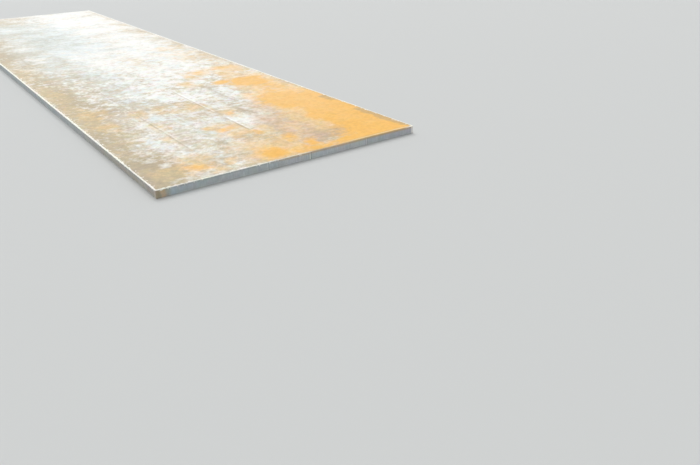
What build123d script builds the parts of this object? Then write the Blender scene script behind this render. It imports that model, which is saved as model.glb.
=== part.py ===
from build123d import *
import os

# Hot-rolled steel plate, flame cut to size on all four sides and lying flat.
# X runs across the plate, Y along it and Z up, with the origin at the centre of
# the underside. The near end is the one at low Y, and the left side is at low X.
# All sizes are in millimetres.

# Driving dimensions
length = 6000.0
width = 1500.0
thickness = 40.0

# What the torch leaves: a top edge melted round, a lower edge where the slag was
# knocked off, slightly rounded corners, and one corner washed rounder, where the
# cut across the near end was started.
arris_radius = 2.0
foot_chamfer = 0.8
corner_radius = 4.0
start_corner_radius = 8.0

# Where the cut was lost and started again, the flame bit a shallow upright notch.
# Those on the near end are measured from its left corner, and those on the left
# side from the near end.
notch_width = 9.0
notch_depth = 1.5
end_notch_distances = [570.0, 815.0, 1173.0]
side_notch_distances = [1711.0]

# A notch is a slice of an upright cylinder, whose chord is the notch's width.
notch_radius = (notch_width**2 / 4 + notch_depth**2) / (2 * notch_depth)
notch_axis_offset = notch_radius - notch_depth
end_notch_axes = [
    (distance - width / 2, -length / 2 - notch_axis_offset) for distance in end_notch_distances
]
side_notch_axes = [
    (-width / 2 - notch_axis_offset, distance - length / 2) for distance in side_notch_distances
]

with BuildPart() as steel_plate:
    # The rolled plate, cut square
    with BuildSketch() as outline:
        Rectangle(width, length)
        near_corners = outline.vertices().group_by(Axis.Y)[0]
        start_corner = near_corners.sort_by(Axis.X)[-1]
        other_corners = outline.vertices() - start_corner
        fillet(other_corners, radius=corner_radius)
        fillet(start_corner, radius=start_corner_radius)
    extrude(amount=thickness)

    # The melted top edge and the cleaned lower edge
    fillet(steel_plate.faces().sort_by(Axis.Z)[-1].edges(), radius=arris_radius)
    chamfer(steel_plate.faces().sort_by(Axis.Z)[0].edges(), length=foot_chamfer)

    # The notches of the restarted cuts, from edge to edge of the cut face
    with BuildSketch():
        with Locations(*end_notch_axes, *side_notch_axes):
            Circle(notch_radius)
    extrude(amount=thickness, mode=Mode.SUBTRACT)

steel_plate.part.label = "steel_plate"
os.makedirs("parts", exist_ok=True)
export_step(steel_plate.part, "parts/steel_plate.step")
print("plate", steel_plate.part.bounding_box().size, "volume", round(steel_plate.part.volume))
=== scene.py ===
import math
import bpy
from mathutils import Matrix, Vector


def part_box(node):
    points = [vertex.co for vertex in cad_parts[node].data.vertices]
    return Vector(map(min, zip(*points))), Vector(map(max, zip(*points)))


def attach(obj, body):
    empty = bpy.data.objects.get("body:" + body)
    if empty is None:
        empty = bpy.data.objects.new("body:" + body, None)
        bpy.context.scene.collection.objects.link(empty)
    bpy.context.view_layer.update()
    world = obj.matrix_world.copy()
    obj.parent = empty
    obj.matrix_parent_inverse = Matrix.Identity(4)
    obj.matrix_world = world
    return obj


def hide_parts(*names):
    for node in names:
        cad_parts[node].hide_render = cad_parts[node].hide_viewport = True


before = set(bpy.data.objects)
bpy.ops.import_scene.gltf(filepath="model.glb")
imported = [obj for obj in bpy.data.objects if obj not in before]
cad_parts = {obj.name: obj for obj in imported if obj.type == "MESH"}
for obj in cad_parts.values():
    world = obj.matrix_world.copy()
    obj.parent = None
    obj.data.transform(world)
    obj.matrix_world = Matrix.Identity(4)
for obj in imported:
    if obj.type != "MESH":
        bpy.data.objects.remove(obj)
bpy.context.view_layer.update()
foot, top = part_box("steel_plate")
width = top.x - foot.x
length = top.y - foot.y
thickness = top.z - foot.z

# Floor, light and camera
# The plate lies on a plain pale studio floor. A broad lamp behind and above it lights
# the rolled face, and a weak low one in front lifts the near cut sides out of shade.
FLOOR_SIZE = 80.0
FLOOR_GAP = 0.001
FLOOR_COLOUR = (0.66, 0.66, 0.645, 1.0)
FLOOR_ROUGHNESS = 0.9
FILL_COLOUR = (0.93, 0.97, 1.0, 1.0)
FILL_STRENGTH = 0.55
BACKDROP_COLOUR = (1.0, 1.0, 1.0, 1.0)
BACKDROP_STRENGTH = 1.0
SUN_SPREAD = math.radians(50)
GLARE_SIZE = (6.0, 2.2)
GLARE_POWER = 8
VIEW_DEPTH = 200.0

bpy.ops.mesh.primitive_plane_add(size=FLOOR_SIZE, location=(0, 0, foot.z - FLOOR_GAP))
floor = bpy.context.object
floor.name = "studio_floor"
floor_paint = bpy.data.materials.new("Pale floor")
floor_paint.use_nodes = True
floor_shader = floor_paint.node_tree.nodes["Principled BSDF"]
floor_shader.inputs["Base Color"].default_value = FLOOR_COLOUR
floor_shader.inputs["Roughness"].default_value = FLOOR_ROUGHNESS
floor.data.materials.append(floor_paint)


def put(tree, kind, feeds=None, **options):
    """Places a shader node, sets its options, and sets or links its inputs."""
    node = tree.nodes.new(kind)
    for name, value in options.items():
        setattr(node, name, value)
    for socket, value in (feeds or {}).items():
        if isinstance(value, bpy.types.NodeSocket):
            tree.links.new(value, node.inputs[socket])
        else:
            node.inputs[socket].default_value = value
    return node


def look_along(direction):
    """The turn that points a lamp along a direction."""
    return Vector(direction).to_track_quat("-Z", "Y").to_euler()


def sun_lamp(name, place, direction, strength):
    """A broad soft lamp that shines one way over the whole plate."""
    bpy.ops.object.light_add(type="SUN", location=place)
    lamp = bpy.context.object
    lamp.name = name
    lamp.data.energy = strength
    lamp.data.angle = SUN_SPREAD
    lamp.rotation_euler = look_along(direction)


world = bpy.data.worlds.new("Studio")
bpy.context.scene.world = world
world.use_nodes = True
sky = world.node_tree
fill = sky.nodes["Background"]
fill.inputs["Color"].default_value = FILL_COLOUR
fill.inputs["Strength"].default_value = FILL_STRENGTH
feeds = {"Color": BACKDROP_COLOUR, "Strength": BACKDROP_STRENGTH}
backdrop = put(sky, "ShaderNodeBackground", feeds)
rays = put(sky, "ShaderNodeLightPath").outputs
feeds = {0: rays["Is Camera Ray"], 1: rays["Is Glossy Ray"]}
seen = put(sky, "ShaderNodeMath", feeds, operation="MAXIMUM")
feeds = {0: seen.outputs[0], 1: fill.outputs[0], 2: backdrop.outputs[0]}
shown_sky = put(sky, "ShaderNodeMixShader", feeds)
sky.links.new(shown_sky.outputs[0], sky.nodes["World Output"].inputs["Surface"])

sun_lamp("broad_lamp", (2, 6, 6), (-0.25, -0.75, -1.0), 1.6)
sun_lamp("front_lamp", (-4, -8, 2), (0.42, 0.9, -0.12), 0.35)

# A low lamp past the far end gives the polished scale its glare.
bpy.ops.object.light_add(type="AREA", location=(2.0, 7.0, 1.4))
glare = bpy.context.object
glare.name = "glare_lamp"
glare.data.shape = "RECTANGLE"
glare.data.size, glare.data.size_y = GLARE_SIZE
glare.data.energy = GLARE_POWER
glare.rotation_euler = look_along((-0.1, -1.0, 0.0))
glare.visible_camera = False

# The camera stands about a metre above the plate, off its near left corner.
CAMERA_FROM_NEAR_LEFT = Vector((-0.87806, -2.69547, 1.12003))
CAMERA_HEADING = math.radians(-35.58)
CAMERA_TILT = math.radians(63.564)
CAMERA_ROLL = math.radians(-1.079)
LENS = 34.115

bpy.ops.object.camera_add()
camera = bpy.context.object
camera.data.sensor_width = 36.0
camera.data.lens = LENS
camera.data.clip_end = VIEW_DEPTH
near_left = Vector((foot.x, foot.y, top.z))
turn = Matrix.Rotation(CAMERA_HEADING, 4, "Z") @ Matrix.Rotation(CAMERA_TILT, 4, "X")
turn = turn @ Matrix.Rotation(CAMERA_ROLL, 4, "Z")
camera.matrix_world = Matrix.Translation(near_left + CAMERA_FROM_NEAR_LEFT) @ turn
bpy.context.scene.camera = camera
bpy.context.scene.view_settings.view_transform = "Standard"

# The plate
# One piece of hot-rolled steel, cut to a rectangle with a gas torch. It starts as a
# fine grid, so that the rolled face can carry slow waves, and is extruded down.
GRID_CELL = 0.025
CORNER_RADIUS = 0.004
START_CORNER_RADIUS = 0.008
ARRIS_RADIUS = 0.002
FOOT_CHAMFER = 0.0008
FLAT_NORMAL = 0.5
NEAR = 1e-5

bpy.ops.object.select_all(action="DESELECT")
bpy.ops.mesh.primitive_grid_add(
    x_subdivisions=round(width / GRID_CELL),
    y_subdivisions=round(length / GRID_CELL),
    size=1,
    location=(0, 0, top.z),
)
plate = bpy.context.object
plate.name = "weathered_plate"
plate.scale = (width, length, 1)
bpy.ops.object.transform_apply(location=True, rotation=True, scale=True)


def pick(wanted):
    """Leaves the plate in edit mode with only its wanted edges selected."""
    bpy.ops.object.mode_set(mode="EDIT")
    bpy.ops.mesh.select_mode(type="EDGE")
    bpy.ops.mesh.select_all(action="DESELECT")
    bpy.ops.object.mode_set(mode="OBJECT")
    for edge in plate.data.edges:
        edge.select = wanted(edge)
    bpy.ops.object.mode_set(mode="EDIT")


def ends(edge):
    """The two end points of an edge."""
    return [plate.data.vertices[i].co for i in edge.vertices]


def on_side(point, margin=NEAR):
    """Whether a point lies on one of the four sides, or within a margin of it."""
    return abs(point.x) > width / 2 - margin or abs(point.y) > length / 2 - margin


def is_rim(edge):
    """Whether an edge of the grid runs along one of its sides."""
    a, b = ends(edge)
    return on_side((a + b) / 2) and on_side(a) and on_side(b)


def is_upright(edge):
    """Whether an edge runs up more than half of the plate's thickness."""
    a, b = ends(edge)
    return abs(a.z - b.z) > thickness / 2


def is_corner(edge):
    """Whether an edge is one of the four upright corners."""
    point = ends(edge)[0]
    at_corner = abs(abs(point.x) - width / 2) < NEAR and abs(abs(point.y) - length / 2) < NEAR
    return is_upright(edge) and at_corner


def is_start_corner(edge):
    """Whether an edge is the near right corner, where the torch started."""
    return is_corner(edge) and ends(edge)[0].x > 0 and ends(edge)[0].y < 0


def turns_down(level):
    """A test for the edges at a level where a flat face meets an upright one."""
    flat = {}
    for face in plate.data.polygons:
        for pair in face.edge_keys:
            flat.setdefault(pair, set()).add(abs(face.normal.z) > FLAT_NORMAL)

    def wanted(edge):
        kinds = flat[tuple(sorted(edge.vertices))]
        return len(kinds) == 2 and abs(ends(edge)[0].z - level) < NEAR

    return wanted


pick(is_rim)
bpy.ops.mesh.extrude_region_move(TRANSFORM_OT_translate={"value": (0, 0, -thickness)})
pick(lambda edge: all(point.z < foot.z + NEAR for point in ends(edge)))
bpy.ops.mesh.edge_face_add()
bpy.ops.mesh.select_all(action="SELECT")
bpy.ops.mesh.normals_make_consistent(inside=False)
pick(lambda edge: is_corner(edge) and not is_start_corner(edge))
bpy.ops.mesh.bevel(offset=CORNER_RADIUS, segments=4, affect="EDGES")
pick(is_start_corner)
bpy.ops.mesh.bevel(offset=START_CORNER_RADIUS, segments=5, affect="EDGES")
bpy.ops.object.mode_set(mode="OBJECT")
pick(turns_down(top.z))
bpy.ops.mesh.bevel(offset=ARRIS_RADIUS, segments=3, affect="EDGES")
bpy.ops.object.mode_set(mode="OBJECT")
pick(turns_down(foot.z))
bpy.ops.mesh.bevel(offset=FOOT_CHAMFER, segments=1, affect="EDGES")

# The gas-cut sides
# All four sides are left as the torch cut them, with close upright drag lines that lean
# back a little, and a notch wherever the cut was lost and started again.
ROW_CUTS = 6
COLUMN_CUTS = 7
DRAG_DEPTH = 0.0005
DRAG_SIZE = (0.006, 0.006, 0.25)
DRAG_LEAN = math.radians(4)
NOTCH_WIDTH = 0.009
NOTCH_DEPTH = 0.0015
END_NOTCHES = (0.570, 0.815, 1.173)
SIDE_NOTCHES = (1.711,)
BURNER_FACETS = 48
WAVE_SIZE = (0.5, 0.5, 0.5)
WAVE_DEPTH = 0.0004
SMOOTH_ANGLE = math.radians(35)


def runs_along_side(edge):
    """Whether an edge runs level along a side, and is more than a rounded corner's piece."""
    a, b = ends(edge)
    level = abs(a.z - b.z) < NEAR
    beside = on_side(a, ARRIS_RADIUS + NEAR) and on_side(b, ARRIS_RADIUS + NEAR)
    return level and beside and (a - b).length > GRID_CELL / 2


bpy.ops.object.mode_set(mode="OBJECT")
pick(is_upright)
bpy.ops.mesh.subdivide(number_cuts=ROW_CUTS)
pick(runs_along_side)
bpy.ops.mesh.subdivide(number_cuts=COLUMN_CUTS)
bpy.ops.object.mode_set(mode="OBJECT")

cut_face = plate.vertex_groups.new(name="cut face")
rolled_face = plate.vertex_groups.new(name="rolled face")
for vertex in plate.data.vertices:
    if foot.z + 2 * FOOT_CHAMFER < vertex.co.z < top.z - ARRIS_RADIUS - NEAR:
        cut_face.add([vertex.index], 1.0, "REPLACE")
    elif vertex.co.z > top.z - NEAR:
        rolled_face.add([vertex.index], 1.0, "REPLACE")


def press(texture_name, size, group, depth, lean=0.0):
    """Presses a rolling or cutting texture into one group of the plate's points."""
    texture = bpy.data.textures.new(texture_name, "CLOUDS")
    texture.noise_scale = 1.0
    bpy.ops.object.empty_add(location=(0, 0, 0), rotation=(lean, lean, 0))
    ruler = bpy.context.object
    ruler.scale = size
    bpy.ops.object.select_all(action="DESELECT")
    bpy.context.view_layer.objects.active = plate
    plate.select_set(True)
    bpy.ops.object.modifier_add(type="DISPLACE")
    modifier = plate.modifiers[-1]
    modifier.texture = texture
    modifier.texture_coords = "OBJECT"
    modifier.texture_coords_object = ruler
    modifier.vertex_group = group
    modifier.mid_level = 1.0
    modifier.strength = depth
    bpy.ops.object.modifier_apply(modifier=modifier.name)
    bpy.data.objects.remove(ruler)


press("Drag lines", DRAG_SIZE, "cut face", DRAG_DEPTH, DRAG_LEAN)

# The rollers left slow waves in the rolled face.
press("Rolling waves", WAVE_SIZE, "rolled face", WAVE_DEPTH)

notch_radius = (NOTCH_WIDTH**2 / 4 + NOTCH_DEPTH**2) / (2 * NOTCH_DEPTH)
notch_axis = notch_radius - NOTCH_DEPTH
notch_places = [(foot.x + across, foot.y - notch_axis) for across in END_NOTCHES]
notch_places += [(foot.x - notch_axis, foot.y + along) for along in SIDE_NOTCHES]
bpy.ops.object.select_all(action="DESELECT")
burners = []
for x, y in notch_places:
    bpy.ops.mesh.primitive_cylinder_add(
        vertices=BURNER_FACETS,
        radius=notch_radius,
        depth=3 * thickness,
        location=(x, y, thickness / 2),
    )
    burners.append(bpy.context.object)
for burner in burners:
    burner.select_set(True)
bpy.ops.object.join()
burner = bpy.context.object
bpy.ops.object.select_all(action="DESELECT")
bpy.context.view_layer.objects.active = plate
plate.select_set(True)
bpy.ops.object.modifier_add(type="BOOLEAN")
plate.modifiers[-1].object = burner
plate.modifiers[-1].operation = "DIFFERENCE"
plate.modifiers[-1].solver = "EXACT"
bpy.ops.object.modifier_apply(modifier=plate.modifiers[-1].name)
bpy.data.objects.remove(burner)
bpy.ops.object.shade_smooth_by_angle(angle=SMOOTH_ANGLE)


# Soft blots
# Rust, film and bare scale lie on the plate in patches. One patch is a soft blot with
# rounded corners, full in its middle and fading out across its edge.


def new_group(name, inputs, outputs):
    """An empty shader group, with the sockets of its input and output nodes."""
    group = bpy.data.node_groups.new(name, "ShaderNodeTree")
    for socket, kind in inputs.items():
        group.interface.new_socket(socket, in_out="INPUT", socket_type="NodeSocket" + kind)
    for socket, kind in outputs.items():
        group.interface.new_socket(socket, in_out="OUTPUT", socket_type="NodeSocket" + kind)
    given = group.nodes.new("NodeGroupInput").outputs
    result = group.nodes.new("NodeGroupOutput").inputs
    return group, given, result


def use(tree, group, feeds):
    """Places a shader group in a material, with its own values."""
    return put(tree, "ShaderNodeGroup", feeds, node_tree=group).outputs


def calc(tree, operation, first, second=0.0, third=0.0, clamp=False):
    """One step of arithmetic on numbers."""
    feeds = {0: first, 1: second, 2: third}
    return put(tree, "ShaderNodeMath", feeds, operation=operation, use_clamp=clamp).outputs[0]


def vector(tree, operation, first, second):
    """One step of arithmetic on places or colours."""
    return put(tree, "ShaderNodeVectorMath", {0: first, 1: second}, operation=operation).outputs[0]


def step(tree, value, low, high):
    """A smooth step from 0 at low to 1 at high."""
    feeds = {"Value": value, "From Min": low, "From Max": high}
    return put(tree, "ShaderNodeMapRange", feeds, interpolation_type="SMOOTHSTEP").outputs["Result"]


def band(tree, value, start, full, fading, end):
    """A smooth band, whole from full to fading and gone before start and after end."""
    return calc(tree, "MULTIPLY", step(tree, value, start, full), step(tree, value, end, fading))


feeds = {"Place": "Vector", "Middle": "Vector", "Reach": "Vector"}
feeds.update({"Fade": "Float", "Strength": "Float", "Before": "Float"})
blot_group, given, result = new_group("Blot", feeds, {"Amount": "Float"})
aside = vector(blot_group, "SUBTRACT", given["Place"], given["Middle"])
aside = vector(blot_group, "DIVIDE", aside, given["Reach"])
squared = vector(blot_group, "MULTIPLY", aside, aside)
away = put(blot_group, "ShaderNodeVectorMath", {0: squared}, operation="LENGTH").outputs["Value"]
away = calc(blot_group, "SQRT", away)
inner = calc(blot_group, "SUBTRACT", 1.0, given["Fade"])
outer = calc(blot_group, "ADD", 1.0, given["Fade"])
amount = calc(blot_group, "MULTIPLY", step(blot_group, away, outer, inner), given["Strength"])
blot_group.links.new(calc(blot_group, "MAXIMUM", given["Before"], amount), result["Amount"])


def blots(tree, place, spots, fade):
    """The strongest of several blots at each place."""
    strongest = 0.0
    for across, along, half_across, half_along, strength in spots:
        feeds = {
            "Place": place,
            "Middle": (across, along, 0),
            "Reach": (half_across, half_along, 1000),
            "Fade": fade,
            "Strength": strength,
            "Before": strongest,
        }
        strongest = use(tree, blot_group, feeds)["Amount"]
    return strongest


# Mill scale
# The blue-grey skin that hot rolling leaves on both faces, pale where it is rubbed bare
# and dulled elsewhere by a tan or pinkish film of rust dust.


def colour(red, green, blue):
    """A colour as read off a screen, from 0 to 255, turned into the shader's scale."""

    def part(value):
        share = value / 255
        return share / 12.92 if share <= 0.04045 else ((share + 0.055) / 1.055) ** 2.4

    return (part(red), part(green), part(blue), 1.0)


def noise(tree, place, size, detail, roughness, stretch=(1, 1, 1), start=(0, 0, 0)):
    """Lumps about size metres apart, stretched along the axes and moved to start."""
    scale = [1 / (size * part) for part in stretch]
    moved = put(tree, "ShaderNodeMapping", {"Vector": place, "Location": start, "Scale": scale})
    feeds = {"Vector": moved.outputs[0], "Scale": 1.0, "Detail": detail, "Roughness": roughness}
    return put(tree, "ShaderNodeTexNoise", feeds).outputs


def grain(tree, place, size, detail, roughness, stretch=(1, 1, 1), start=(0, 0, 0)):
    """Noise about a half, from 0 to 1, with its lumps about size metres apart."""
    lumps = noise(tree, place, size, detail, roughness, stretch, start)["Fac"]
    feeds = {"Value": lumps, "From Min": 0.25, "From Max": 0.75}
    return put(tree, "ShaderNodeMapRange", feeds).outputs[0]


def cover(tree, below, paint, amount, share=None):
    """One colour laid over another by an amount, or by a share of that amount."""
    if share is not None:
        amount = calc(tree, "MULTIPLY", amount, share)
    return put(tree, "ShaderNodeMix", {0: amount, 6: below, 7: paint}, data_type="RGBA").outputs[2]


def blend(tree, *shares):
    """The sum of several grains about nought, each with its share."""
    summed = -sum(share for grains, share in shares) / 2
    for grains, share in shares:
        summed = calc(tree, "MULTIPLY_ADD", grains, share, summed)
    return summed


YELLOW_FILM = colour(197, 177, 130)
GREY_FILM = colour(198, 186, 170)
TAN_FILM = colour(168, 145, 99)
PALE_SCALE = colour(226, 224, 214)
COOL_FILM = colour(186, 195, 188)
COOL_SCALE = colour(192, 204, 201)

feeds = {"Place": "Vector", "Wear": "Float", "Calm": "Float"}
feeds.update({"Flaky": "Float", "Tan": "Float", "Cool": "Float"})
results = {"Color": "Color", "Bare": "Float"}
scale_group, given, result = new_group("Mill scale", feeds, results)
tree = scale_group
place = given["Place"]
mottle = grain(tree, place, size=0.11, detail=5.0, roughness=0.68)
speckle = grain(tree, place, size=0.042, detail=5.0, roughness=0.75, start=(3, 1, 2))
clouds = grain(tree, place, size=0.27, detail=3.0, roughness=0.55, start=(7, 2, 4))
streaks = grain(tree, place, size=0.02, detail=3.0, roughness=0.6, stretch=(1, 18, 1), start=(8, 5, 3))
flakes = grain(tree, place, size=0.065, detail=3.0, roughness=0.8, start=(5, 1, 9))
flakes = calc(tree, "MULTIPLY", calc(tree, "SUBTRACT", flakes, 0.5), given["Flaky"])
broken = calc(tree, "ADD", blend(tree, (mottle, 0.92), (speckle, 2.0), (streaks, 0.3)), flakes)
broken = calc(tree, "MULTIPLY", broken, calc(tree, "MULTIPLY_ADD", given["Calm"], -0.6, 1.0))
calmed = calc(tree, "MULTIPLY_ADD", given["Calm"], 1.4, 1.0)
slow = calc(tree, "MULTIPLY", blend(tree, (clouds, 0.45)), calmed)
bare = calc(tree, "ADD", calc(tree, "ADD", broken, slow), given["Wear"], clamp=True)
hues = grain(tree, place, size=0.13, detail=3.0, roughness=0.6, start=(1, 6, 8))
film = cover(tree, GREY_FILM, YELLOW_FILM, hues)
film = cover(tree, film, TAN_FILM, given["Tan"])
film = cover(tree, film, COOL_FILM, calc(tree, "MULTIPLY", given["Cool"], 0.7, clamp=True))
cold = grain(tree, place, size=0.17, detail=3.0, roughness=0.6, start=(6, 6, 3))
cold = calc(tree, "MULTIPLY_ADD", cold, 1.8, calc(tree, "SUBTRACT", given["Cool"], 0.9), clamp=True)
scale = cover(tree, PALE_SCALE, COOL_SCALE, cold)
tree.links.new(cover(tree, film, scale, bare), result["Color"])
tree.links.new(bare, result["Bare"])

# Rust
# Water that lay on the plate rusted through the scale. The rust is orange and matt, and
# ends in a ragged edge.


def settle(tree, field, grains, gain, fray):
    """A layer that is there where its field is over a half, with a ragged edge."""
    level = calc(tree, "MULTIPLY_ADD", field, gain, 0.5 - gain / 2 - fray / 2)
    return calc(tree, "MULTIPLY_ADD", grains, fray, level, clamp=True)


ORANGE_RUST = colour(253, 196, 104)
LIGHT_ORANGE_RUST = colour(254, 206, 136)

feeds = {"Place": "Vector", "Spread": "Float", "Light": "Float"}
rust_group, given, result = new_group("Rust", feeds, {"Color": "Color", "Cover": "Float"})
tree = rust_group
place = given["Place"]
islands = grain(tree, place, size=0.10, detail=6.0, roughness=0.7, start=(4, 9, 1))
rusted = settle(tree, given["Spread"], islands, gain=2.0, fray=1.0)
tones = grain(tree, place, size=0.12, detail=4.0, roughness=0.6, start=(2, 7, 5))
tones = calc(tree, "SUBTRACT", tones, 0.5)
tones = calc(tree, "MULTIPLY_ADD", tones, 0.7, given["Light"], clamp=True)
tree.links.new(cover(tree, ORANGE_RUST, LIGHT_ORANGE_RUST, tones), result["Color"])
tree.links.new(rusted, result["Cover"])

# Melted edge and its highlight
# The torch melts the top edge of the cut. The steel sets there as a bright line of
# beads, with a few drops beside it. The line's brightness is partly a painted highlight.
MELTED_STEEL_HIGHLIGHT = colour(250, 247, 234)

feeds = {"Place": "Vector", "Distance": "Float", "Width": "Float"}
melt_highlight_group, given, result = new_group("Melted edge highlight", feeds, {"Cover": "Float"})
tree = melt_highlight_group
place = given["Place"]
beads = grain(tree, place, size=0.03, detail=2.0, roughness=0.6, start=(9, 4, 2))
near_edge = calc(tree, "DIVIDE", given["Distance"], given["Width"])
line = step(tree, calc(tree, "MULTIPLY_ADD", beads, 0.5, near_edge), 1.45, 0.95)
drops = grain(tree, place, size=0.014, detail=1.0, roughness=0.5, start=(2, 9, 4))
drops = calc(tree, "MULTIPLY", step(tree, drops, 0.62, 0.82), step(tree, near_edge, 3.2, 1.2))
tree.links.new(calc(tree, "MAXIMUM", line, drops), result["Cover"])

# Unevenness
# No finish on the plate is one flat colour: each is a little lighter or darker from
# spot to spot, and a little off in hue.


def scaled(tree, colours, amount):
    """A colour made stronger or weaker by a number."""
    feeds = {0: colours, "Scale": amount}
    return put(tree, "ShaderNodeVectorMath", feeds, operation="SCALE").outputs[0]


feeds = {"Color": "Color", "Place": "Vector", "Shade": "Float", "Hue": "Float"}
uneven_group, given, result = new_group("Uneven", feeds, {"Color": "Color"})
tree = uneven_group
place = given["Place"]
fine = grain(tree, place, size=0.024, detail=4.0, roughness=0.7, start=(3, 8, 6))
shade = calc(tree, "MULTIPLY_ADD", calc(tree, "SUBTRACT", fine, 0.5), given["Shade"], 1.0)
tints = noise(tree, place, size=0.07, detail=2.0, roughness=0.6, start=(5, 5, 1))["Color"]
tints = vector(tree, "SUBTRACT", tints, (0.5, 0.5, 0.5))
tints = vector(tree, "ADD", scaled(tree, tints, given["Hue"]), (1, 1, 1))
toned = vector(tree, "MULTIPLY", given["Color"], tints)
tree.links.new(scaled(tree, toned, shade), result["Color"])

# The upper rolled face
# Mill scale, rubbed pale by the rollers down the middle, under a tan film of rust dust
# along the left side, and matt orange rust where water lay along the right side.
BROWN_SCALE = colour(198, 161, 112)
YELLOW_RUST = colour(208, 180, 116)
PEACH_RUST = colour(236, 198, 136)
MARGIN_SCALE = colour(176, 159, 128)
RUSTED_RIDGE_HIGHLIGHT = colour(246, 222, 176)
DULL_EDGE = colour(196, 166, 116)
DARK_BROWN_SCALE = colour(186, 153, 112)
ROLLER_MARK = colour(170, 150, 118)
DARK_STAIN = colour(154, 134, 102)
ROLLED_BRIGHT = colour(244, 243, 236)
ROLLED_ROUGHNESS = 0.55
COAT_ROUGHNESS = 0.3
PIT_DEPTH = 0.0006

# How far the film is rubbed off, and how cool the scale is, where no blot says so
PLAIN_WEAR = 0.34
PLAIN_COOL = 0.06

# Each blot is given by how far across and along it lies from the near left corner, its
# half width and half length, all in metres, and its strength
ORANGE_BLOTS = [
    (0.91, 0.13, 0.05, 0.06, 0.8),
    (1.35, 0.46, 0.18, 0.62, 1.25),
    (1.30, 0.05, 0.22, 0.15, 1.0),
    (1.25, 0.92, 0.16, 0.24, 1.1),
    (1.30, 1.24, 0.12, 0.20, 0.62),
    (1.31, 1.53, 0.14, 0.15, 1.0),
    (1.13, 1.62, 0.09, 0.06, 0.8),
    (1.30, 2.02, 0.13, 0.07, 0.62),
    (1.13, 1.98, 0.07, 0.07, 0.5),
    (0.66, 0.12, 0.08, 0.10, 0.85),
    (0.80, 0.07, 0.14, 0.09, 0.6),
    (0.94, 0.03, 0.16, 0.07, 0.72),
    (0.86, 0.26, 0.06, 0.08, 0.6),
    (1.12, 0.03, 0.14, 0.06, 1.0),
    (0.25, 0.17, 0.07, 0.04, 0.6),
    (0.27, 0.14, 0.06, 0.04, 0.62),
    (0.64, 0.62, 0.07, 0.05, 0.56),
    (0.58, 0.69, 0.05, 0.04, 0.5),
    (0.74, 0.45, 0.03, 0.05, 0.6),
    (0.43, 0.84, 0.02, 0.05, 0.4),
    (0.80, 0.90, 0.03, 0.05, 0.5),
]
PEACH_BLOTS = [
    (1.13, 1.18, 0.07, 0.10, 0.8),
    (0.35, 0.63, 0.04, 0.05, 0.6),
    (0.44, 0.13, 0.04, 0.04, 0.7),
    (1.02, 1.93, 0.05, 0.12, 0.8),
    (1.28, 1.24, 0.17, 0.20, 1.0),
    (1.12, 1.98, 0.09, 0.12, 0.62),
    (1.37, 1.99, 0.12, 0.15, 1.0),
    (1.27, 1.80, 0.10, 0.14, 0.9),
    (1.26, 2.62, 0.10, 0.26, 0.5),
    (1.30, 3.08, 0.13, 0.12, 0.5),
    (0.92, 1.70, 0.06, 0.09, 0.8),
    (0.26, 0.18, 0.10, 0.10, 0.55),
    (0.32, 0.20, 0.08, 0.12, 0.6),
    (0.35, 0.07, 0.05, 0.04, 0.8),
    (0.57, 0.19, 0.04, 0.05, 0.7),
    (0.68, 0.50, 0.07, 0.09, 0.9),
    (0.81, 0.47, 0.06, 0.09, 0.8),
    (1.42, 1.35, 0.09, 0.36, 1.3),
    (0.66, 0.64, 0.10, 0.12, 0.55),
    (0.73, 1.12, 0.04, 0.14, 0.6),
    (0.74, 0.40, 0.10, 0.18, 0.55),
    (1.15, 0.58, 0.11, 0.30, 1.2),
    (0.96, 0.36, 0.08, 0.14, 0.5),
    (0.26, 0.31, 0.05, 0.05, 0.6),
    (0.70, 0.16, 0.18, 0.20, 0.95),
    (0.55, 1.22, 0.09, 0.14, 0.45),
    (0.16, 1.38, 0.07, 0.14, 0.5),
    (0.12, 1.02, 0.06, 0.08, 0.5),
    (1.42, 2.40, 0.10, 0.40, 0.45),
    (0.38, 0.90, 0.05, 0.09, 0.55),
    (0.37, 1.22, 0.06, 0.10, 0.55),
    (0.67, 1.20, 0.06, 0.12, 0.6),
    (0.80, 0.93, 0.05, 0.10, 0.65),
]
YELLOW_BLOTS = [
    (0.12, 0.17, 0.07, 0.10, 0.7),
    (0.08, 1.30, 0.08, 0.50, 0.6),
    (0.06, 2.00, 0.10, 0.30, 0.7),
    (1.43, 1.20, 0.06, 0.16, 0.5),
    (0.05, 2.80, 0.10, 0.40, 0.6),
    (0.13, 1.05, 0.05, 0.10, 1.2),
    (0.90, 2.70, 0.06, 0.34, 0.5),
    (1.42, 4.60, 0.10, 1.20, 0.35),
]
BROWN_BLOTS = [
    (1.03, 0.42, 0.16, 0.28, 1.4),
    (1.14, 0.22, 0.12, 0.10, 1.3),
    (1.05, 0.84, 0.09, 0.20, 0.75),
    (0.88, 0.18, 0.10, 0.10, 0.8),
]
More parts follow.
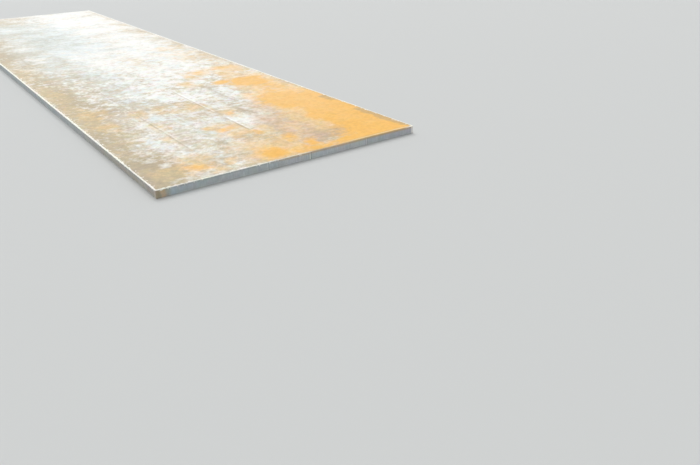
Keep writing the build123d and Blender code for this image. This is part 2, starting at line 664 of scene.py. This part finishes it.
TAN_BLOTS = [
    (0.74, 5.60, 0.12, 0.26, 0.6),
    (0.77, 1.68, 0.04, 0.06, 0.8),
    (0.05, 2.52, 0.04, 0.10, 1.2),
    (1.01, 1.34, 0.04, 0.10, 0.7),
    (0.06, 1.28, 0.08, 0.14, 1.5),
    (0.31, 1.60, 0.04, 0.09, 0.9),
    (0.18, 1.50, 0.04, 0.07, 1.0),
    (0.24, 0.88, 0.04, 0.07, 0.5),
    (0.52, 0.42, 0.04, 0.05, 0.5),
    (0.86, 1.16, 0.05, 0.06, 0.9),
    (0.39, 0.52, 0.04, 0.05, 0.6),
    (0.67, 1.30, 0.05, 0.07, 0.6),
    (0.70, 0.42, 0.04, 0.09, 0.7),
    (0.36, 1.41, 0.06, 0.07, 0.6),
    (0.19, 0.98, 0.05, 0.06, 0.7),
    (0.76, 0.28, 0.05, 0.08, 0.7),
    (0.54, 0.17, 0.07, 0.04, 0.7),
    (0.36, 1.93, 0.05, 0.07, 1.0),
    (0.27, 2.24, 0.05, 0.20, 0.5),
    (0.70, 1.98, 0.04, 0.10, 1.0),
    (1.00, 1.55, 0.10, 0.08, 0.6),
    (0.04, 0.92, 0.04, 0.10, 1.2),
    (0.06, 0.20, 0.15, 0.30, 1.5),
    (0.32, 0.04, 0.08, 0.03, 0.6),
    (1.12, 0.20, 0.14, 0.08, 1.1),
    (0.05, 0.90, 0.11, 0.70, 0.9),
    (0.07, 1.70, 0.14, 0.60, 1.1),
    (0.06, 2.60, 0.14, 1.00, 0.8),
    (0.10, 3.55, 0.12, 0.50, 0.8),
    (0.10, 4.50, 0.18, 0.80, 0.5),
    (0.22, 1.50, 0.10, 0.20, 0.9),
    (0.88, 0.86, 0.05, 0.07, 0.8),
    (0.41, 1.21, 0.05, 0.08, 0.8),
    (0.38, 2.42, 0.05, 0.12, 0.8),
    (0.72, 2.28, 0.05, 0.12, 0.9),
    (0.52, 1.20, 0.06, 0.12, 0.5),
    (0.66, 4.00, 0.12, 0.30, 0.4),
    (0.84, 0.50, 0.06, 0.12, 0.6),
    (0.48, 0.31, 0.03, 0.04, 0.7),
    (0.60, 0.03, 0.12, 0.03, 0.6),
    (0.38, 0.12, 0.06, 0.12, 0.9),
    (0.60, 1.22, 0.12, 0.12, 0.4),
    (0.45, 1.52, 0.11, 0.12, 0.6),
    (0.70, 0.98, 0.08, 0.10, 0.5),
    (0.92, 1.02, 0.08, 0.10, 0.4),
]
DARK_BLOTS = [
    (0.06, 0.21, 0.09, 0.12, 1.3),
    (1.18, 0.19, 0.10, 0.06, 1.8),
]
PALE_BLOTS = [
    (0.07, 0.03, 0.05, 0.03, 1.2),
    (0.33, 0.97, 0.04, 0.07, 0.8),
    (0.86, 1.27, 0.05, 0.08, 0.8),
    (0.28, 1.69, 0.04, 0.07, 1.1),
    (0.82, 4.50, 0.12, 0.40, 0.6),
    (0.68, 3.50, 0.10, 0.20, 0.5),
    (0.24, 4.00, 0.10, 0.30, 0.5),
    (0.95, 0.68, 0.03, 0.13, 0.8),
    (0.52, 2.62, 0.06, 0.14, 0.9),
    (1.42, 1.78, 0.06, 0.14, 0.8),
    (0.51, 2.08, 0.05, 0.08, 1.5),
    (0.34, 3.10, 0.08, 0.12, 0.8),
    (1.02, 2.58, 0.05, 0.12, 1.5),
    (0.13, 0.39, 0.03, 0.05, 0.9),
    (0.59, 0.33, 0.04, 0.08, 1.0),
    (0.48, 0.06, 0.04, 0.03, 1.1),
    (0.68, 2.50, 0.12, 0.16, 1.8),
    (0.53, 0.80, 0.04, 0.07, 0.9),
    (0.14, 0.05, 0.05, 0.02, 1.5),
    (0.20, 0.11, 0.04, 0.03, 0.9),
    (1.04, 1.03, 0.05, 0.08, 1.2),
    (0.13, 0.60, 0.03, 0.09, 0.9),
    (0.54, 3.20, 0.09, 0.46, 1.6),
    (0.88, 1.84, 0.05, 0.08, 1.2),
    (0.17, 0.27, 0.03, 0.04, 1.5),
    (0.98, 2.08, 0.08, 0.14, 1.6),
    (1.08, 1.44, 0.04, 0.07, 1.5),
    (0.40, 1.65, 0.04, 0.10, 1.0),
    (0.93, 1.31, 0.04, 0.05, 1.4),
    (0.59, 1.07, 0.06, 0.06, 0.8),
    (0.51, 0.53, 0.04, 0.05, 0.7),
    (0.20, 0.02, 0.08, 0.03, 0.5),
    (0.25, 0.36, 0.06, 0.07, 1.0),
    (0.26, 0.53, 0.04, 0.05, 0.6),
    (0.24, 0.69, 0.06, 0.10, 0.8),
    (0.44, 0.30, 0.09, 0.10, 0.35),
    (0.83, 0.68, 0.07, 0.16, 1.7),
    (0.68, 0.90, 0.05, 0.10, 0.9),
    (0.43, 1.12, 0.05, 0.11, 0.5),
    (0.50, 1.00, 0.10, 0.06, 0.4),
    (0.66, 1.48, 0.06, 0.14, 1.2),
    (0.82, 1.08, 0.05, 0.11, 0.9),
    (0.81, 1.36, 0.07, 0.10, 1.5),
    (1.02, 1.34, 0.05, 0.16, 1.1),
    (1.00, 1.74, 0.05, 0.10, 1.1),
    (0.50, 1.65, 0.18, 0.18, 0.7),
    (0.72, 1.75, 0.18, 0.25, 1.0),
    (0.76, 2.65, 0.18, 0.80, 1.4),
    (0.76, 3.35, 0.18, 0.36, 1.5),
    (1.06, 3.60, 0.28, 1.40, 1.15),
    (1.12, 1.50, 0.06, 0.10, 1.0),
    (1.10, 2.90, 0.22, 0.90, 1.5),
    (1.10, 5.30, 0.38, 1.00, 1.6),
    (0.52, 3.00, 0.14, 0.40, 0.8),
]
MARGIN_BLOTS = [
    (1.50, 0.14, 0.03, 0.18, 1.2),
    (1.49, 0.38, 0.04, 0.12, 1.3),
    (1.49, 0.81, 0.05, 0.06, 0.9),
    (1.50, 1.22, 0.05, 0.20, 0.9),
    (1.50, 2.35, 0.05, 0.50, 0.9),
    (1.50, 4.40, 0.05, 1.60, 0.8),
]
COOL_BLOTS = [
    (0.43, 1.12, 0.06, 0.14, 0.8),
    (0.36, 3.20, 0.18, 0.80, 1.0),
    (0.62, 4.20, 0.28, 0.90, 1.8),
    (0.52, 0.70, 0.08, 0.14, 0.5),
    (0.45, 5.00, 0.34, 0.45, 1.4),
    (0.45, 1.75, 0.14, 0.40, 0.6),
    (0.50, 2.30, 0.14, 0.40, 1.1),
    (0.84, 1.46, 0.04, 0.08, 0.9),
    (0.96, 1.38, 0.03, 0.14, 0.7),
]

# Each mark is given by how far across it lies, where it starts and ends along, its half
# width, all in metres, and its strength
ROLLER_MARKS = [
    (0.350, 0.43, 1.15, 0.005, 0.8),
    (0.350, 1.10, 2.10, 0.004, 0.5),
    (0.747, 0.50, 0.80, 0.006, 0.8),
    (0.742, 0.92, 1.60, 0.004, 0.8),
    (0.970, 1.10, 1.50, 0.008, 0.6),
    (0.905, 0.55, 1.05, 0.004, 0.4),
    (0.520, 0.70, 1.30, 0.003, 0.4),
]
BRIGHT_MARKS = [
    (0.760, 0.52, 0.84, 0.006, 0.8),
    (0.753, 0.95, 1.55, 0.005, 0.7),
    (0.362, 0.55, 0.95, 0.004, 0.4),
]


def sway(tree, place, size, reach, start=(0, 0, 0)):
    """The place moved sideways by noise, so that what is drawn on it gets ragged."""
    lumps = noise(tree, place, size, detail=3.0, roughness=0.6, start=start)["Color"]
    aside = vector(tree, "SUBTRACT", lumps, (0.5, 0.5, 0.5))
    return vector(tree, "ADD", place, vector(tree, "MULTIPLY", aside, (4 * reach, 4 * reach, 0)))


def new_material(name):
    """A material, its shader and the place from the plate's near left corner."""
    material = bpy.data.materials.new(name)
    material.use_nodes = True
    tree = material.node_tree
    here = put(tree, "ShaderNodeTexCoord").outputs["Object"]
    place = vector(tree, "ADD", here, (-foot.x, -foot.y, 0))
    return material, tree, tree.nodes["Principled BSDF"], place


def axes(tree, place):
    """A place taken apart into X across, Y along and Z up."""
    return put(tree, "ShaderNodeSeparateXYZ", {0: place}).outputs


def nearest_side(tree, spread):
    """How far a place lies inside the nearest of the four sides."""
    across = calc(tree, "MINIMUM", spread["X"], calc(tree, "SUBTRACT", width, spread["X"]))
    along = calc(tree, "MINIMUM", spread["Y"], calc(tree, "SUBTRACT", length, spread["Y"]))
    return calc(tree, "MINIMUM", across, along)


def dullness(tree, across):
    """How rusted the melted edge of the near end is: little up to the second notch."""
    second_notch = END_NOTCHES[1]
    little = calc(tree, "MULTIPLY", step(tree, across, 0.56, 0.66), 0.3)
    most = calc(tree, "MULTIPLY", step(tree, across, second_notch, second_notch + 0.02), 0.4)
    rest = calc(tree, "MULTIPLY", step(tree, across, 0.85, 1.30), 0.3)
    amount = calc(tree, "ADD", little, calc(tree, "ADD", most, rest))
    return calc(tree, "MULTIPLY", amount, step(tree, across, width - 0.02, width - 0.08))


upper, tree, shader, place = new_material("Rolled upper face")
wavy = sway(tree, place, size=0.28, reach=0.045)
ragged = sway(tree, wavy, size=0.06, reach=0.014, start=(5, 3, 0))

# The scale, with more of its film rubbed off where the rollers ran
tan = blots(tree, ragged, TAN_BLOTS, fade=0.6)
wear = calc(tree, "MULTIPLY_ADD", blots(tree, ragged, PALE_BLOTS, fade=0.6), 0.45, PLAIN_WEAR)
wear = calc(tree, "MULTIPLY_ADD", tan, -0.4, wear)
cool = calc(tree, "MULTIPLY_ADD", blots(tree, ragged, COOL_BLOTS, fade=0.6), 0.6, PLAIN_COOL)
spread = axes(tree, place)
calm = calc(tree, "MAXIMUM", calc(tree, "MULTIPLY", tan, 0.7), step(tree, spread["Y"], 1.2, 3.6))
flaky = calc(tree, "MULTIPLY", step(tree, spread["Y"], 0.5, 1.6), 2.4)
feeds = {"Place": place, "Wear": wear, "Calm": calm, "Flaky": flaky, "Tan": tan, "Cool": cool}
scale = use(tree, scale_group, feeds)
tone = scale["Color"]

# The smooth brown scale, the thin and the thick rust
mottle = grain(tree, place, size=0.09, detail=5.0, roughness=0.65, start=(1, 2, 7))
brown = settle(tree, blots(tree, wavy, BROWN_BLOTS, fade=0.7), mottle, gain=1.5, fray=0.3)
tone = cover(tree, tone, cover(tree, BROWN_SCALE, DARK_BROWN_SCALE, tan), brown)
dark = settle(tree, blots(tree, ragged, DARK_BLOTS, fade=0.7), mottle, gain=1.2, fray=0.8)
tone = cover(tree, tone, DARK_STAIN, dark, share=0.5)
yellow = settle(tree, blots(tree, ragged, YELLOW_BLOTS, fade=0.8), mottle, gain=1.2, fray=1.2)
tone = cover(tree, tone, YELLOW_RUST, yellow, share=0.65)
peach = settle(tree, blots(tree, ragged, PEACH_BLOTS, fade=0.7), mottle, gain=1.5, fray=1.1)
tone = cover(tree, tone, PEACH_RUST, peach, share=0.8)
light = calc(tree, "MULTIPLY", step(tree, spread["Y"], 0.1, 1.1), 0.75)
feeds = {"Place": place, "Spread": blots(tree, ragged, ORANGE_BLOTS, fade=0.8), "Light": light}
rust = use(tree, rust_group, feeds)
tone = cover(tree, tone, rust["Color"], rust["Cover"])
matt = calc(tree, "MAXIMUM", rust["Cover"], calc(tree, "MULTIPLY", peach, 0.5))

# Lengthwise marks of the rollers, dark or bright
wavering = axes(tree, sway(tree, place, size=0.2, reach=0.0015))


def marks(lines):
    """The strongest of several lengthwise lines at each place, broken by the mottles."""
    strongest = 0.0
    for across, start, end, half_width, strength in lines:
        off = calc(tree, "ABSOLUTE", calc(tree, "SUBTRACT", wavering["X"], across))
        line = step(tree, off, 1.6 * half_width, 0.6 * half_width)
        reach = band(tree, wavering["Y"], start - 0.03, start + 0.05, end - 0.05, end + 0.05)
        line = calc(tree, "MULTIPLY", line, reach)
        strongest = calc(tree, "MAXIMUM", strongest, calc(tree, "MULTIPLY", line, strength))
    worn = calc(tree, "MULTIPLY_ADD", mottle, 0.8, 0.3, clamp=True)
    return calc(tree, "MULTIPLY", strongest, worn)


tone = cover(tree, tone, ROLLED_BRIGHT, marks(BRIGHT_MARKS))
tone = cover(tree, tone, ROLLER_MARK, marks(ROLLER_MARKS))

# Along the sides the torch's heat left a dull margin, and the top edge melted bright, its brightness
# partly a painted highlight
inside = nearest_side(tree, spread)
edge_waves = grain(tree, place, size=0.16, detail=4.0, roughness=0.6, start=(2, 2, 6))
margin = step(tree, calc(tree, "MULTIPLY_ADD", edge_waves, -0.05, inside), 0.006, -0.008)
tone = cover(tree, tone, MARGIN_SCALE, margin, share=0.15)
patchy = settle(tree, blots(tree, ragged, MARGIN_BLOTS, fade=0.6), mottle, gain=1.5, fray=1.0)
tone = cover(tree, tone, MARGIN_SCALE, patchy, share=0.5)
left_part = step(tree, spread["X"], 0.66, 0.54)
right_side = step(tree, spread["X"], width - 0.04, width - 0.02)
long_sides = calc(tree, "MAXIMUM", step(tree, spread["X"], 0.04, 0.02), right_side)
thicker = calc(tree, "MULTIPLY_ADD", step(tree, spread["Y"], 0.1, 1.6), 0.0035, 0.0032)
end_width = calc(tree, "MULTIPLY_ADD", left_part, 0.001, 0.004)
wide = calc(tree, "MULTIPLY_ADD", long_sides, thicker, end_width)
melted_highlight = use(tree, melt_highlight_group, {"Place": place, "Distance": inside, "Width": wide})
# A pale cream line just inside the near end, from about a metre across: painted highlight, tinted by
# rust
right_part = step(tree, spread["X"], 0.95, 1.15)
ridge_highlight = calc(tree, "MULTIPLY", band(tree, spread["Y"], 0.006, 0.010, 0.016, 0.022), right_part)
tone = cover(tree, tone, RUSTED_RIDGE_HIGHLIGHT, ridge_highlight, share=0.7)
dull = calc(tree, "MULTIPLY", dullness(tree, spread["X"]), step(tree, spread["Y"], 0.012, 0.008))
tone = cover(tree, tone, cover(tree, MELTED_STEEL_HIGHLIGHT, DULL_EDGE, dull), melted_highlight["Cover"])

swing = calc(tree, "MULTIPLY_ADD", matt, -0.3, 0.5)
tint = calc(tree, "MULTIPLY_ADD", calm, -0.2, calc(tree, "MULTIPLY_ADD", matt, -0.3, 0.38))
tint = calc(tree, "MAXIMUM", tint, 0.05)
uneven = use(tree, uneven_group, {"Color": tone, "Place": place, "Shade": swing, "Hue": tint})
tree.links.new(uneven["Color"], shader.inputs["Base Color"])

gloss = calc(tree, "MULTIPLY_ADD", scale["Bare"], -0.2, ROLLED_ROUGHNESS)
gloss = calc(tree, "MULTIPLY_ADD", matt, 0.4, gloss, clamp=True)
tree.links.new(gloss, shader.inputs["Roughness"])
polish = calc(tree, "MULTIPLY_ADD", scale["Bare"], 0.7, 0.3)
polish = calc(tree, "MULTIPLY", polish, calc(tree, "SUBTRACT", 1.0, matt))
tree.links.new(polish, shader.inputs["Coat Weight"])
shader.inputs["Coat Roughness"].default_value = COAT_ROUGHNESS
speckle = grain(tree, place, size=0.022, detail=4.0, roughness=0.65, start=(3, 1, 2))
height = calc(tree, "MULTIPLY_ADD", speckle, 0.5, calc(tree, "MULTIPLY", rust["Cover"], 0.5))
bump = put(tree, "ShaderNodeBump", {"Height": height, "Distance": PIT_DEPTH, "Strength": 0.6})
tree.links.new(bump.outputs[0], shader.inputs["Normal"])

# The cut sides' material
# Bare grey-blue steel with close upright drag lines, dark under the melted top edge,
# and stained with rust that ran down at the near left corner.
CUT_STEEL = colour(187, 195, 196)
BLUE_CUT = colour(172, 188, 200)
DARK_CUT = colour(150, 156, 156)
BROWN_CUT = colour(188, 174, 154)
PALE_CUT = colour(212, 217, 214)
OLIVE_CUT = colour(157, 139, 106)
STAINED_CUT = colour(204, 166, 116)
LILAC_CUT = colour(190, 182, 196)
NOTCH_SHADE = colour(110, 116, 116)
WORN_CUT = colour(214, 196, 180)
CUT_ROUGHNESS = 0.5
CUT_MELT_WIDTH = 0.0035

# How strongly each notch of the near end shows, from the left
NOTCH_STRENGTHS = (0.15, 0.4, 0.2)

side, tree, shader, place = new_material("Gas cut side")
spread = axes(tree, place)
below_top = calc(tree, "SUBTRACT", thickness, spread["Z"])
on_near_end = step(tree, spread["Y"], 0.003, 0.002)
on_left_side = step(tree, spread["X"], 0.003, 0.002)

# Drag lines and patches of the torch's own blue and brown
lines = grain(tree, place, size=0.008, detail=3.0, roughness=0.6, stretch=(1, 1, 9))
patches = grain(tree, place, size=0.07, detail=4.0, roughness=0.65, stretch=(1, 1, 0.6))
tone = cover(tree, CUT_STEEL, BLUE_CUT, calc(tree, "MULTIPLY_ADD", patches, 1.6, -0.6, clamp=True))
browned = calc(tree, "MULTIPLY", on_left_side, step(tree, spread["Y"], 1.7, 0.3))
browned = calc(tree, "MULTIPLY_ADD", browned, 0.85, calc(tree, "MULTIPLY", patches, 0.15))
tone = cover(tree, tone, BROWN_CUT, browned)
paled = calc(tree, "MULTIPLY", band(tree, spread["X"], 0.3, 0.9, 1.1, 1.4), on_near_end)
tone = cover(tree, tone, PALE_CUT, paled, share=0.45)
lilac = grain(tree, place, size=0.07, detail=3.0, roughness=0.6, start=(4, 2, 9))
to_the_right = calc(tree, "MULTIPLY_ADD", step(tree, spread["X"], 1.1, 1.3), 0.3, -0.6)
lilac = calc(tree, "MULTIPLY_ADD", lilac, 1.2, to_the_right)
lilac = calc(tree, "MULTIPLY", calc(tree, "MAXIMUM", lilac, 0.0), calc(tree, "SUBTRACT", 1.0, browned))
tone = cover(tree, tone, LILAC_CUT, lilac)
bright = grain(tree, place, size=0.05, detail=4.0, roughness=0.65, start=(7, 7, 2))
tone = cover(tree, tone, PALE_CUT, calc(tree, "MULTIPLY_ADD", bright, 1.4, -0.7, clamp=True))
tone = cover(tree, tone, DARK_CUT, lines, share=0.6)
foot_line = step(tree, below_top, thickness - 0.007, thickness - 0.004)
foot_line = calc(tree, "MULTIPLY", foot_line, bright)
tone = cover(tree, tone, PALE_CUT, foot_line, share=0.7)

# The line of shade under the top edge, rusted along the near end
under = band(tree, below_top, 0.0015, 0.0035, 0.007, 0.013)
tone = cover(tree, tone, DARK_CUT, under, share=0.6)
rusty_top = calc(tree, "MULTIPLY", step(tree, spread["X"], 0.56, 0.72), on_near_end)
rusty_top = calc(tree, "MULTIPLY", rusty_top, step(tree, below_top, 0.016, 0.004))
tone = cover(tree, tone, STAINED_CUT, rusty_top, share=0.6)

# The near left corner, where water ran down the near end and left bands of colour
ragged_x = calc(tree, "MULTIPLY_ADD", patches, 0.016, calc(tree, "SUBTRACT", spread["X"], 0.008))


def stain(start, full, fading, end, strength):
    """An upright band across the near end, given by how far it lies from the left."""
    amount = calc(tree, "MULTIPLY", band(tree, ragged_x, start, full, fading, end), on_near_end)
    spotty = calc(tree, "MULTIPLY_ADD", patches, strength, strength / 2, clamp=True)
    return calc(tree, "MULTIPLY", amount, spotty)


tone = cover(tree, tone, OLIVE_CUT, stain(-0.02, -0.01, 0.055, 0.075, 0.4))
tone = cover(tree, tone, OLIVE_CUT, stain(-0.02, -0.01, 0.018, 0.028, 0.7))
tone = cover(tree, tone, STAINED_CUT, stain(0.020, 0.028, 0.040, 0.054, 0.55))
tone = cover(tree, tone, BLUE_CUT, stain(0.060, 0.080, 0.085, 0.120, 0.55))
worn = calc(tree, "MULTIPLY", step(tree, spread["Y"], 0.03, 0.006), on_left_side)
worn = calc(tree, "MULTIPLY", worn, calc(tree, "SUBTRACT", 1.0, on_near_end))
tone = cover(tree, tone, WORN_CUT, worn, share=0.5)

# Each notch has a painted highlight on one wall and painted shade on the other, and the last 15 mm
# across, with the rounded start corner and the right side, is painted bright as a highlight
for distance, strength in zip(END_NOTCHES, NOTCH_STRENGTHS):
    off = calc(tree, "SUBTRACT", spread["X"], distance)
    notch_highlight = calc(tree, "MULTIPLY", band(tree, off, -0.006, -0.004, 0.0, 0.002), on_near_end)
    tone = cover(tree, tone, MELTED_STEEL_HIGHLIGHT, notch_highlight, share=strength)
    notch_shade = calc(tree, "MULTIPLY", band(tree, off, 0.001, 0.003, 0.005, 0.007), on_near_end)
    tone = cover(tree, tone, NOTCH_SHADE, notch_shade, share=strength)
corner_highlight = step(tree, spread["X"], width - 0.019, width - 0.014)
tone = cover(tree, tone, MELTED_STEEL_HIGHLIGHT, corner_highlight, share=0.55)

# The bright line at the top of the cut is partly a painted highlight, where the rounded edge catches
# light
melted_highlight = use(tree, melt_highlight_group, {"Place": place, "Distance": below_top, "Width": CUT_MELT_WIDTH})
dull = calc(tree, "MULTIPLY", dullness(tree, spread["X"]), on_near_end)
tone = cover(tree, tone, cover(tree, MELTED_STEEL_HIGHLIGHT, DULL_EDGE, dull), melted_highlight["Cover"])
uneven = use(tree, uneven_group, {"Color": tone, "Place": place, "Shade": 0.22, "Hue": 0.2})
tree.links.new(uneven["Color"], shader.inputs["Base Color"])
shader.inputs["Roughness"].default_value = CUT_ROUGHNESS

# The underside
# The other rolled face has the same scale, but duller and less rubbed, with flat
# patches of rust where damp stood under it.
UNDER_ROUGHNESS = 0.6

lower, tree, shader, place = new_material("Rolled underside")
damp = grain(tree, place, size=0.6, detail=3.0, roughness=0.5, start=(3, 3, 3))
feeds = {"Place": place, "Wear": 0.35, "Calm": 0.4, "Flaky": 0.5, "Tan": 0.3, "Cool": 0.2}
scale = use(tree, scale_group, feeds)
feeds = {"Place": place, "Spread": calc(tree, "MULTIPLY", damp, 0.8), "Light": 0.4}
rust = use(tree, rust_group, feeds)
tone = cover(tree, scale["Color"], rust["Color"], rust["Cover"])
uneven = use(tree, uneven_group, {"Color": tone, "Place": place, "Shade": 0.3, "Hue": 0.2})
tree.links.new(uneven["Color"], shader.inputs["Base Color"])
shader.inputs["Roughness"].default_value = UNDER_ROUGHNESS

# Each face of the plate takes the material of the way it looks, and the rounded edges
# are part of the cut sides
ROLLED_NORMAL = 0.9

plate.data.materials.clear()
for material in (upper, side, lower):
    plate.data.materials.append(material)
for face in plate.data.polygons:
    if abs(face.normal.z) < ROLLED_NORMAL:
        face.material_index = 1
    elif face.normal.z > 0:
        face.material_index = 0
    else:
        face.material_index = 2

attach(plate, "root")
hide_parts("steel_plate")
